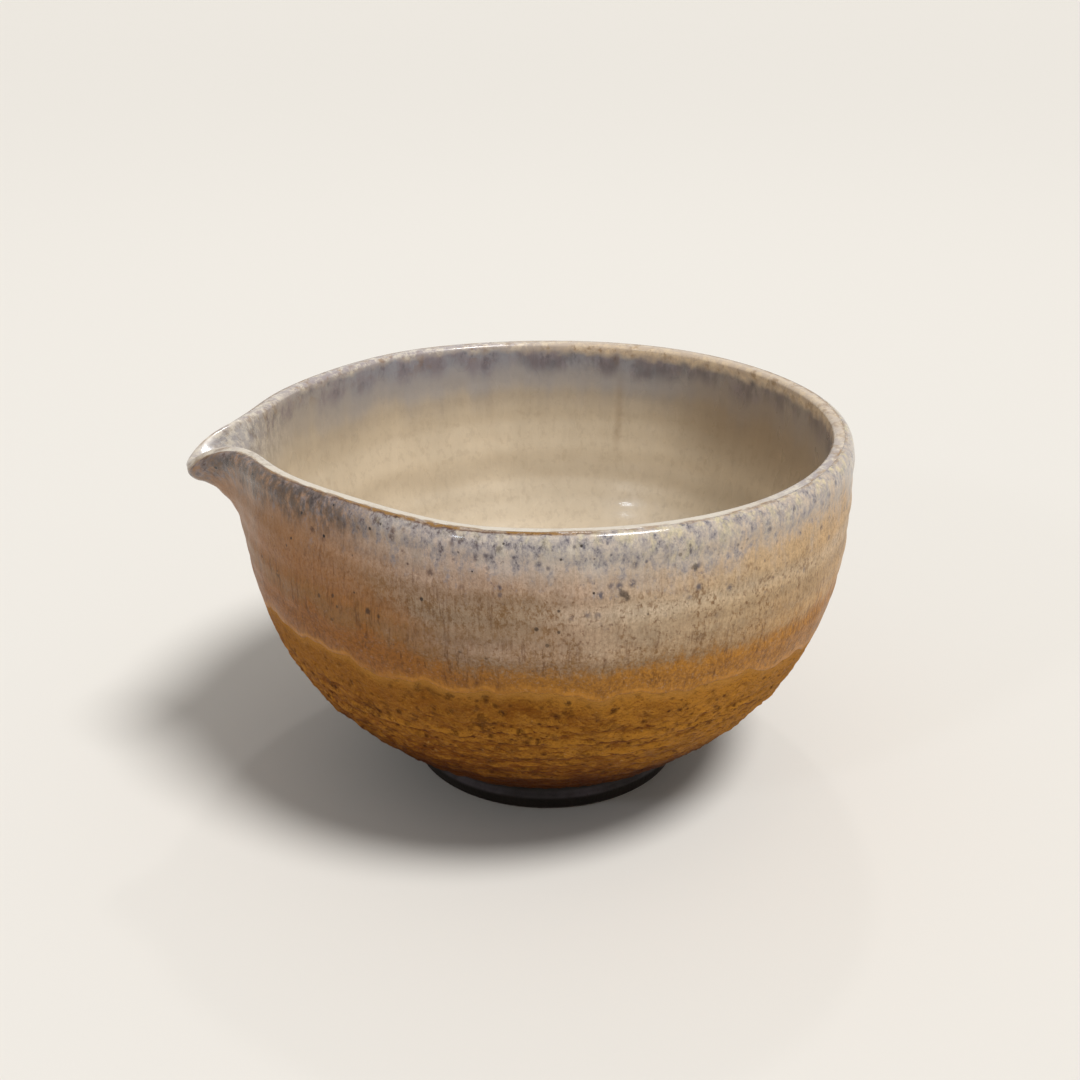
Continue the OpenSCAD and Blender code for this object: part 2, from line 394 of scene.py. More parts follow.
class Chain:
    """Outline of a turned piece: points, how far each lies below the lip, and which way it faces."""

    def __init__(self):
        self.points = []
        self.below = []
        self.finish = []

    def add(self, points, below=None, finish=1.0):
        """Carries the outline on, with finish 0 on a hidden back."""
        points = np.atleast_2d(points)
        self.points.extend(map(tuple, points))
        self.below.extend([0.0] * len(points) if below is None else list(below))
        self.finish.extend([finish] * len(points))
        return self

    def faces(self):
        """Outward direction of the outline at each point, and nothing on its hidden back."""
        way = np.gradient(np.array(self.points), axis=0)
        square = np.stack([way[:, 1], -way[:, 0]], -1) / np.maximum(np.hypot(*way.T), 1e-9)[:, None]
        return square * np.array(self.finish)[:, None]


def run_along(points):
    """Distance along a line of points."""
    return np.concatenate([[0], np.cumsum(np.hypot(*np.diff(points, axis=0).T))])


def turned_mesh(name, pot, chain, relief, side, closed, follows_line=0.0):
    """Spins an outline into a mesh, lays relief on it, and draws out the beak."""
    bm = bmesh.new()
    layers = [bm.verts.layers.float.new(key) for key in CARRIED]
    verts = []
    for (r, z), below, face in zip(chain.points, chain.below, side * chain.faces()):
        vert = bm.verts.new((-r * MM, 0, z * MM))
        for layer, value in zip(layers, (below, *face)):
            vert[layer] = value
        verts.append(vert)
    pairs = list(zip(verts, verts[1:]))
    if closed:
        pairs.append((verts[-1], verts[0]))
    edges = [bm.edges.new(pair) for pair in pairs]
    sector = 2 * math.pi / SECTORS
    bmesh.ops.spin(bm, geom=verts + edges, cent=(0, 0, 0), axis=(0, 0, 1), angle=sector,
                   steps=pot.columns // SECTORS)
    for turn in (sector, 2 * sector, 4 * sector):
        double = bmesh.ops.duplicate(bm, geom=bm.verts[:] + bm.edges[:] + bm.faces[:])["geom"]
        bmesh.ops.rotate(bm, cent=(0, 0, 0), matrix=Matrix.Rotation(turn, 3, "Z"),
                         verts=[part for part in double if isinstance(part, bmesh.types.BMVert)])
    bmesh.ops.remove_doubles(bm, verts=bm.verts, dist=WELD)
    bmesh.ops.recalc_face_normals(bm, faces=bm.faces)
    for face in bm.faces:
        face.smooth = True
    mesh = bpy.data.meshes.new(name)
    bm.to_mesh(mesh)
    bm.free()
    shape_mesh(mesh, pot, relief, follows_line)
    return mesh


def shape_mesh(mesh, pot, relief, follows_line):
    """Moves the points of a turned mesh to where the potter's hands leave them."""
    count = len(mesh.vertices)
    place = np.empty(count * 3)
    mesh.vertices.foreach_get("co", place)
    x, y, z = place.reshape(-1, 3).T / MM
    read = {}
    for key in CARRIED:
        read[key] = np.empty(count)
        mesh.attributes[key].data.foreach_get("value", read[key])
    r = np.hypot(x, y)
    angle = np.arctan2(-y, -x)
    angle = angle - pot.crowding * np.sin(angle)
    shift = pot.line_shift(angle)
    if follows_line:
        weight = ease(1 - np.abs(z - pot.line_z) / follows_line)
        moved = z + shift * weight
        r = r + pot.out_r(moved) - pot.out_r(z)
        z = moved
    thrown = np.stack([-r * np.cos(angle), -r * np.sin(angle), -read["below_lip"]], -1)
    depth = relief(pot, z, angle, read["below_lip"])
    marks = {"height": z, "above_line": z - pot.line_z - shift, "relief": depth}
    # Difference of the relief below and above each point: where ash settles and where light from above falls,
    # painted later as light and shade on the ash.
    if relief is trimmed_relief:
        under, over = (relief(pot, z + step, angle, 0) for step in (-pot.settle_and_light_step, pot.settle_and_light_step))
        marks["settled_and_lit"] = under - over
    r, z = pot.handled(r + depth * read["face_r"], z + depth * read["face_z"], angle)
    r, z = pot.drawn(np.maximum(r, 0), z, angle)
    place = np.stack([-r * np.cos(angle), -r * np.sin(angle), z], -1) * MM
    mesh.vertices.foreach_set("co", place.ravel())
    for key, values in marks.items():
        mesh.attributes.new(key, "FLOAT", "POINT").data.foreach_set("value", values)
    mesh.attributes.new("thrown", "FLOAT_VECTOR", "POINT").data.foreach_set("vector", (thrown * MM).ravel())
    for key in ("face_r", "face_z"):
        mesh.attributes.remove(mesh.attributes[key])
    mesh.update()


def stand_piece(name, mesh, material, nodes):
    """Puts a finished mesh in the scene, in place of the frame's nodes that it stands for."""
    piece = bpy.data.objects.new(name, mesh)
    bpy.context.scene.collection.objects.link(piece)
    mesh.materials.append(material)
    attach(piece, "root")
    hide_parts(*nodes)
    return piece


def outer_chain(pot):
    """Pale coat outside: lip edge, shoulder, wall, rolled edge, and the back against the clay."""
    thinning = 0.3
    thinning_height = 9
    edge_drops = np.array([0.3, 0.55, 0.7])
    edge_shares = np.array([0.68, 0.6, 0.4])
    rows = np.linspace(pot.shoulder_z, pot.line_z, pot.wall_rows)[1:]
    thin = 1 - thinning * ease(1 - (rows - pot.line_z) / thinning_height)
    wall = np.stack([pot.out_r(rows, pot.coat * thin), rows], -1)
    edge = pot.line_z - edge_drops
    roll = np.stack([pot.out_r(edge, pot.coat * edge_shares), edge], -1)
    front = np.concatenate([pot.shoulder(pot.round_rows, pot.coat), wall, roll])
    back_rows = np.linspace(edge[-1], pot.shoulder_z, pot.back_rows)
    back = np.stack([pot.out_r(back_rows, -pot.coat_sink), back_rows], -1)
    chain = Chain().add(front, run_along(front))
    chain.add(back, finish=0.0)
    return chain.add(pot.shoulder(5, 0.0)[::-1], finish=0.0)


def liner_chain(pot):
    """Liner inside: floor, wall, lip, and the back against the clay."""
    wall = pot.inside(pot.liner_rows, pot.coat)
    flat = np.linspace([pot.lip_in + pot.lip_round, pot.height], [pot.lip_edge, pot.height], 7)[1:]
    front = np.concatenate([wall[:-1], pot.lip_turn(pot.lip_rows, pot.coat), flat])
    below = run_along(front)
    chain = Chain().add(front, below[-1] - below)
    chain.add([pot.lip_edge, pot.clay_h], finish=0.0)
    back = np.concatenate([pot.inside(20, -pot.coat_sink)[:-1], pot.lip_turn(3, 0.0)])
    return chain.add(back[::-1], finish=0.0)


def ash_chain(pot):
    """Amber coat from under the pale glaze down to the root of the foot, with its back."""
    top = pot.line_z + 1.2
    sink = 0.6
    tuck = 0.35
    rows = np.linspace(top, pot.foot_h, pot.ash_rows)
    dive = tuck * ease((rows - pot.line_z + 0.6) / 1.4)
    front = np.stack([pot.out_r(rows, pot.ash - dive), rows], -1)
    back_rows = np.linspace(pot.foot_h, top, pot.back_rows)
    back = np.stack([pot.out_r(back_rows, -sink), back_rows], -1)
    return Chain().add(front, run_along(front)).add(back, finish=0.0)


def clay_chain(pot):
    """Clay wall and floor, a little inside the coats, with the trimmed underside."""
    wall_room = 0.5
    room = 0.3
    under = np.linspace([0, pot.foot_h + 0.6], [pot.foot_r - 0.2, pot.foot_h], 20)
    rows = np.linspace(pot.foot_h + 0.4, pot.shoulder_z, 40)
    wall = np.stack([pot.out_r(rows, -wall_room), rows], -1)
    inside = np.concatenate([pot.inside(40, -room)[:-1], pot.lip_turn(3, -room)])[::-1]
    chain = Chain().add(under).add(wall, finish=0.0)
    return chain.add(pot.shoulder(5, -room)[::-1][1:], finish=0.0).add(inside, finish=0.0)


# Glaze recipes

class Recipe:
    """Nodes of one material, and the colour that its steps have built up so far.

    A step hands back a socket that the next step can use. Noise counts its waves per metre, across the
    wall and down it. Depths, heights and reliefs are in millimetres.
    """

    wall_radius = 64 * MM
    blot_radius = 64.5 * MM
    smallest_speck = 0.35

    def __init__(self, glazes, name, ground):
        self.glazes = glazes
        self.material = bpy.data.materials.new(name)
        self.material.use_nodes = True
        self.tree = self.material.node_tree
        self.tree.nodes.clear()
        self.surface = self.tree.nodes.new("ShaderNodeBsdfPrincipled")
        out = self.tree.nodes.new("ShaderNodeOutputMaterial")
        self.tree.links.new(self.surface.outputs["BSDF"], out.inputs["Surface"])
        self.place = self.step("ShaderNodeAttribute", out="Vector", attribute_name="thrown")
        self.colour = self.glaze(ground)

    def glaze(self, colour):
        """The colour of a glaze that is named, or a colour that a step has made."""
        return getattr(self.glazes, colour) if isinstance(colour, str) else colour

    def feed(self, socket, value):
        """Links a socket to another, or sets it to a value or a colour."""
        if isinstance(value, bpy.types.NodeSocket):
            self.tree.links.new(value, socket)
        elif socket.type == "RGBA":
            socket.default_value = (*value[:3], 1)
        else:
            socket.default_value = value

    def step(self, kind, inputs=(), out=0, **settings):
        """Adds one node and hands back one of its outputs."""
        node = self.tree.nodes.new(kind)
        for key, value in settings.items():
            setattr(node, key, value)
        for key, value in dict(inputs).items():
            self.feed(node.inputs[key], value)
        return node.outputs[out]

    def attribute(self, name):
        """A value that the mesh carries at each point."""
        return self.step("ShaderNodeAttribute", out="Fac", attribute_name=name)

    def around(self, degrees, length):
        """X and Y of a line of some length from the axis, at an angle from the beak."""
        turn = math.radians(degrees)
        return -length * math.cos(turn), -length * math.sin(turn)

    def toward(self, degrees):
        """How far a point faces an angle round the pot, from -1 to 1 at the wall."""
        way = (*self.around(degrees, 1 / self.wall_radius), 0)
        return self.step("ShaderNodeVectorMath", {0: self.place, 1: way}, out="Value",
                         operation="DOT_PRODUCT")

    def stretched(self, across, up, lift=0.0):
        """The thrown shape's coordinates scaled across the wall and down it."""
        return self.step("ShaderNodeMapping", {
            "Vector": self.place, "Location": (0, 0, lift * MM * up), "Scale": (across, across, up)})

    def noise(self, across, up=None, detail=3.0, rough=0.55, lift=0.0):
        """Smooth noise, as coarse down the wall as across it unless up is given."""
        return self.step("ShaderNodeTexNoise", {
            "Vector": self.stretched(across, across if up is None else up, lift), "Scale": 1.0,
            "Detail": detail, "Roughness": rough}, out="Fac")

    def settled_and_lit(self, across, up, step):
        """Where ash settles on a rough skin and where light from above falls on it: above 0 on top of each
        lump, below 0 under it.
        """
        under = self.noise(across, up, detail=4, rough=0.7, lift=-step)
        over = self.noise(across, up, detail=4, rough=0.7, lift=step)
        return self.math("SUBTRACT", under, over)

    def grain(self, low, high, across, up=None, detail=3.0, rough=0.6):
        """Noise cut into grains: 0 below low, 1 above high."""
        return self.between(self.noise(across, up, detail, rough), low, high)

    def specks(self, across, up, radius, share, soft=0.5):
        """Scattered round specks of mixed sizes in some of the cells of a grid."""
        vector = self.stretched(across, up)
        cells = self.tree.nodes.new("ShaderNodeTexVoronoi")
        self.feed(cells.inputs["Vector"], vector)
        cells.inputs["Scale"].default_value = 1.0
        lot = self.tree.nodes.new("ShaderNodeSeparateColor")
        self.feed(lot.inputs["Color"], cells.outputs["Color"])
        chosen = self.math("GREATER_THAN", lot.outputs["Red"], 1 - share)
        least = self.smallest_speck * radius
        size = self.math("MULTIPLY_ADD", lot.outputs["Green"], radius - least, least)
        near = self.math("DIVIDE", cells.outputs["Distance"], size)
        return self.product(self.between(near, 1.0, 1.0 - soft), chosen)

    def blot(self, degrees, below, radius):
        """One ragged round spot at an angle round the pot and a depth below the lip."""
        spot = (*self.around(degrees, self.blot_radius), -below * MM)
        off = self.step("ShaderNodeVectorMath", {0: self.place, 1: spot}, out="Value", operation="DISTANCE")
        off = self.shifted(off, self.noise(900, 760, detail=4), 0.5 * radius * MM)
        return self.between(off, radius * MM, 0.4 * radius * MM)

    def between(self, value, low, high, start=0.0, end=1.0):
        """Smooth ramp from start at low to end at high."""
        return self.step("ShaderNodeMapRange", {
            "Value": value, "From Min": low, "From Max": high, "To Min": start, "To Max": end},
            interpolation_type="SMOOTHSTEP")

    def from_to(self, share, start, end):
        """Smooth ramp from start where a share is 0 to end where it is 1."""
        return self.between(share, 0.0, 1.0, start, end)

    def band(self, value, middle, half):
        """Soft band that is 1 at its middle and 0 at its edges."""
        off = self.math("ABSOLUTE", self.math("SUBTRACT", value, middle))
        return self.between(off, half, 0.0)

    def math(self, operation, a, b=0.5, c=0.0):
        """One sum of up to three values."""
        return self.step("ShaderNodeMath", {0: a, 1: b, 2: c}, operation=operation)

    def product(self, first, *others):
        """Product of any number of values."""
        for other in others:
            first = self.math("MULTIPLY", first, other)
        return first

    def add(self, value, other, times):
        """Value plus so many times another."""
        return self.math("MULTIPLY_ADD", other, times, value)

    def rest(self, share):
        """What a share leaves of 1."""
        return self.math("SUBTRACT", 1.0, share)

    def shifted(self, value, noise, spread):
        """Value moved up and down by noise, by as much as spread."""
        return self.math("ADD", value, self.step("ShaderNodeMapRange", {
            "Value": noise, "From Min": 0.25, "From Max": 0.75, "To Min": -spread, "To Max": spread}))

    def mix(self, amount, under, over):
        """One colour over another."""
        return self.step("ShaderNodeMix", {0: amount, 6: self.glaze(under), 7: self.glaze(over)}, out=2,
                         data_type="RGBA")

    def lay(self, over, *amounts):
        """Lays a colour over what is there, as far as the product of the amounts."""
        self.colour = self.mix(self.product(*amounts), self.colour, over)

    def tint(self, value, low, high, dark, light):
        """Multiplies what is there by dark where a value is low, up to light where it is high."""
        amount = self.between(value, low, high, dark, light)
        grey = self.step("ShaderNodeCombineColor", {"Red": amount, "Green": amount, "Blue": amount})
        self.colour = self.step("ShaderNodeMix", {0: 1.0, 6: self.colour, 7: grey}, out=2,
                                data_type="RGBA", blend_type="MULTIPLY")

    def bump(self, height, depth, under=None):
        """Fine relief of a depth in metres, laid on any relief under it."""
        inputs = {"Height": height, "Distance": depth, "Strength": 1.0}
        if under is not None:
            inputs["Normal"] = under
        return self.step("ShaderNodeBump", inputs)

    def finish(self, rough, normal, specular=0.5, coat=0.0, coat_rough=0.1):
        """Gives the built-up colour its skin and hands back the material."""
        self.feed(self.surface.inputs["Base Color"], self.colour)
        self.feed(self.surface.inputs["Roughness"], rough)
        self.feed(self.surface.inputs["Normal"], normal)
        self.feed(self.surface.inputs["Specular IOR Level"], specular)
        self.feed(self.surface.inputs["Coat Weight"], coat)
        self.feed(self.surface.inputs["Coat Roughness"], coat_rough)
        return self.material


class PaleGlaze(Recipe):
    """Pale glaze: speckled rose-grey body, rutile mottle under the lip, amber where it thins."""

    blots = ((92, 12.5, 1.5), (49, 20, 0.8), (26, 20.5, 0.8), (104, 9, 0.9), (158, 24, 1.3))

    def __init__(self, glazes):
        super().__init__(glazes, "pale_glaze", "pale")
        self.below = self.attribute("below_lip")
        self.above = self.attribute("above_line")
        self.height = self.shifted(self.attribute("height"), self.noise(26, 10, detail=2), 1.6)
        self.beakward = self.between(self.toward(20), 0.55, 0.98)
        self.spoutward = self.between(self.toward(20), 0.42, 0.97)
        self.tanned = self.between(self.toward(8), 0.6, 0.97)
        self.sunny = self.between(self.toward(150), 0.0, 0.95)
        self.shady = self.rest(self.sunny)
        self.golden = self.between(self.toward(160), 0.55, 1.0)
        self.lower = self.between(self.below, 6, 17, 0.15, 1.0)
        ragged = self.shifted(self.below, self.noise(150, 110), 4.0)
        ragged = self.shifted(ragged, self.noise(800, 110, detail=4, rough=0.65), 2.0)
        ragged = self.add(ragged, self.spoutward, 4.5)
        self.ragged = self.add(ragged, self.tanned, 2.5)

    def made(self):
        """The material, from the body up to the skin."""
        self.body()
        self.dust()
        self.scorch_and_warm_bounce()
        fade = self.thin_out()
        self.mottle()
        pins = self.iron()
        self.rim()

        skin = self.bump(self.noise(1300, 1100, detail=4, rough=0.7), 0.2 * MM)
        skin = self.bump(self.noise(70, detail=2), 0.5 * MM, skin)
        skin = self.bump(self.rest(pins), 0.15 * MM, skin)
        satin = self.between(self.noise(180, 90), 0.3, 0.7, 0.34, 0.48)
        rough = self.product(satin, self.between(self.below, 9, 1, 1.0, 0.5))
        wet = self.between(self.shifted(self.below, self.noise(90, detail=2), 3.0), 10, 1, 0.08, 0.6)
        return self.finish(rough, skin, specular=0.15, coat=self.product(wet, self.from_to(fade, 1.0, 0.2)))

    def body(self):
        """Rose patches, a yellow side, and the rings of the throwing."""
        self.lay("rose", self.between(self.noise(46, 70), 0.38, 0.64))
        self.lay("straw", self.sunny, 0.75)
        self.lay("honey", self.golden, 0.35)
        pink = self.band(self.shifted(self.below, self.noise(60, 40), 3.0), 11.0, 7.0)
        self.lay("rose", pink, self.shady, 0.6)
        self.lay("cream", self.band(self.height, 63.5, 3.2), 0.2)
        self.lay("drab", self.band(self.height, 59.3, 2.6), 0.35)
        self.lay("drab", self.between(self.attribute("relief"), 0.0, 0.25), 0.2)
        self.tint(self.noise(5, 210, rough=0.6), 0.32, 0.68, 0.93, 1.05)

    def dust(self):
        """Hairs, clouds and sand in the glaze, the dust that lies on it, and a darker, browner patch at the
        front-left.
        """
        self.tint(self.noise(1900, 110, detail=2), 0.3, 0.7, 0.93, 1.06)
        self.tint(self.noise(300, 240, detail=4, rough=0.65), 0.3, 0.7, 0.9, 1.08)
        self.lay("drab", self.grain(0.4, 0.62, 1900, 1500, detail=5, rough=0.75), 0.3)
        clusters = self.grain(0.38, 0.6, 170, 36, detail=4)
        dust = self.grain(0.52, 0.59, 950, 760, detail=5, rough=0.78)
        self.lay("moss", dust, clusters, self.lower, 0.62)
        peck = self.grain(0.57, 0.62, 1100, 900, detail=4, rough=0.72)
        self.lay("umber", peck, self.lower, 0.5)
        # Darker and browner on the front-left of the wall about mid height, with dark grain in it.
        front_left_patch = self.product(self.between(self.toward(62), 0.92, 0.998), self.band(self.height, 63.0, 11.0))
        patch_grain = self.grain(0.46, 0.6, 900, 620, detail=6, rough=0.8)
        self.lay("bister", front_left_patch, 0.6)
        self.lay("moss", front_left_patch, patch_grain, 0.65)
        self.lay("sienna", self.tanned, 0.75)

    def scorch_and_warm_bounce(self):
        """Streaks down the wall, and the toasted side by the beak, partly painted warm bounce light."""
        rain = self.product(self.grain(0.5, 0.66, 1500, 110, detail=5, rough=0.7),
                            self.grain(0.42, 0.6, 110, 50),
                            self.grain(0.36, 0.56, 1200, 900, detail=4, rough=0.7))
        self.lay("umber", rain, self.lower, self.shady, 0.4)
        # How far down the toasted side reaches; its colour there is partly painted warm bounce light.
        warm_reach = self.shifted(self.height, self.noise(200, 50, detail=4), 2.0)
        warm_reach = self.shifted(warm_reach, self.noise(1100, 120, detail=5, rough=0.7), 1.6)
        warm_reach = self.add(warm_reach, self.beakward, -13.0)
        veil = self.between(self.noise(900, 130, detail=6, rough=0.7), 0.34, 0.62, 0.58, 0.82)
        # Toasted glaze beside the beak, partly painted warm bounce light.
        self.lay("toast_and_bounce", self.between(warm_reach, 57.5, 47.0), self.spoutward, veil)
        self.lay("umber", rain, self.spoutward, self.between(self.below, 5, 12), 0.45)
        grit = self.grain(0.5, 0.62, 1400, 1100, detail=5, rough=0.78)
        self.lay("umber", grit, self.spoutward, self.between(warm_reach, 62, 52), 0.4)

    def thin_out(self):
        """Dusky, then amber, down to the bead of the glaze line. Hands back how thin the glaze is."""
        course = self.shifted(self.height, self.noise(120, 30), 1.6)
        course = self.shifted(course, self.noise(520, 70, detail=4, rough=0.65), 1.4)
        course = self.add(course, self.beakward, -7.0)
        course = self.add(course, self.sunny, -2.0)
        reach = self.shifted(self.above, self.noise(520, 70, detail=4, rough=0.65), 1.2)
        course = self.math("MINIMUM", course, self.math("ADD", reach, 45.5))
        pepper = self.math("SUBTRACT", self.noise(1300, 800, detail=5, rough=0.78), 0.5)
        dusky = self.add(course, pepper, -14.0)
        thin = self.mix(self.golden, "bister", "honey")
        self.lay(thin, self.between(dusky, 57.5, 48.5), 0.75)
        fade = self.between(course, 53.5, 44.5)
        # On the beak side the thinned glaze takes the toasted colour, partly painted warm bounce light.
        warm_amber = self.mix(self.spoutward, "amber", "toast_and_bounce")
        warm_amber = self.mix(self.product(self.sunny, 0.45), warm_amber, "gold")
        self.lay(warm_amber, self.between(self.add(course, pepper, -9.0), 51.8, 47.4))
        self.lay("umber", fade, self.grain(0.42, 0.62, 1000, 760, detail=6, rough=0.8), 0.55)
        grainy = self.between(dusky, 58.0, 49.0)
        self.lay("moss", self.grain(0.48, 0.6, 1500, 950, detail=5, rough=0.78), grainy, 0.5)
        self.lay("pale", self.grain(0.56, 0.66, 1300, 1000, detail=4, rough=0.75), grainy, 0.2)
        strands = self.grain(0.49, 0.62, 1300, 150, detail=5, rough=0.7)
        self.lay("umber", strands, self.between(course, 61, 50), self.grain(0.38, 0.58, 150, 90), 0.6)
        glow = self.between(self.shifted(self.above, self.noise(200), 0.8), 1.8, 0.0)
        self.lay("gold", glow, 0.25)
        edge = self.band(self.shifted(self.above, self.noise(320), 0.35), 0.0, 0.6)
        self.lay("gold", edge, self.grain(0.42, 0.58, 110), 0.35)
        return fade

    def mottle(self):
        """Blue-grey pools and spots on pale ash under the lip, with cream flecks and yellow drips."""
        clear = self.from_to(self.tanned, 1.0, 0.22)
        self.lay("ash_grey", self.between(self.ragged, 13.0, 4.0), clear, 0.55)
        sinking = self.add(self.between(self.ragged, 3, 15, 0.0, 0.18), self.spoutward, -0.08)
        sinking = self.add(sinking, self.sunny, 0.02)
        pools = self.math("SUBTRACT", self.noise(620, 430, detail=8, rough=0.74), sinking)
        within = self.between(self.ragged, 19, 12)
        smudge = self.mix(self.product(self.spoutward, 0.75), "slate", "umber")
        self.lay("rutile", self.between(pools, 0.4, 0.56), within, 0.7)
        self.lay(smudge, self.between(pools, 0.52, 0.65), within, 0.85)
        spots = self.grain(0.6, 0.67, 560, 460, detail=6, rough=0.75)
        self.lay(smudge, spots, self.between(self.ragged, 20, 12), 0.5)
        drops = self.specks(480, 430, 0.52, 0.5, soft=0.8)
        frayed = self.grain(0.34, 0.52, 1500, 1300, detail=4)
        self.lay(smudge, drops, frayed, self.between(self.ragged, 21, 12), 0.8)
        flecks = self.grain(0.5, 0.62, 1300, 700, detail=5, rough=0.75)
        self.lay("cream", flecks, self.between(self.ragged, 9, 1), clear, 0.55)
        yolk = self.grain(0.5, 0.64, 420, 170, detail=5)
        self.lay("primrose", yolk, self.between(self.ragged, 8, 1), self.from_to(self.sunny, 0.25, 0.65))
        sooty = self.between(self.shifted(self.below, self.noise(420, 160), 3.0), 10, 4)
        smoke = self.grain(0.34, 0.6, 520, 240, detail=6, rough=0.75)
        self.lay("iron", self.between(self.toward(24), 0.88, 0.98), sooty, smoke, 0.75)

    def iron(self):
        """A few blots, a grey grain on the yellow side, and pinholes, which it hands back."""
        for degrees, depth, radius in self.blots:
            patchy = self.grain(0.12, 0.42, 1500, 1300, detail=4)
            self.lay("iron", self.blot(degrees, depth, radius), patchy, 0.75)
        film = self.grain(0.44, 0.6, 1400, 950, detail=5, rough=0.76)
        self.lay("rutile", film, self.between(self.ragged, 15, 5), self.sunny, 0.4)
        pins = self.product(self.specks(380, 340, 0.2, 0.6), self.between(self.below, 30, 8, 0.35, 1.0),
                            self.between(self.sunny, 0.4, 0.9, 1.0, 0.4))
        self.lay("iron", pins)
        return pins

    def rim(self):
        """The broken ochre edge of the lip, with a dark crack under it in front."""
        front = self.between(self.toward(50), 0.70, 0.86)
        broken = self.grain(0.42, 0.56, 230, detail=4)
        width = self.between(self.toward(66), 0.8, 1.0, 0.3, 0.75)
        inset = self.math("SUBTRACT", self.shifted(self.below, self.noise(420), 0.3), width)
        rim = self.product(self.between(inset, 0.2, -0.15), self.from_to(broken, 0.45, 1.0), front)
        trail = self.product(broken, self.between(inset, 0.5, 0.0), 0.45)
        self.lay("ochre", self.math("MAXIMUM", rim, trail))
        self.lay("umber", self.band(inset, 0.1, 0.3), self.grain(0.38, 0.52, 420), front, 0.85)


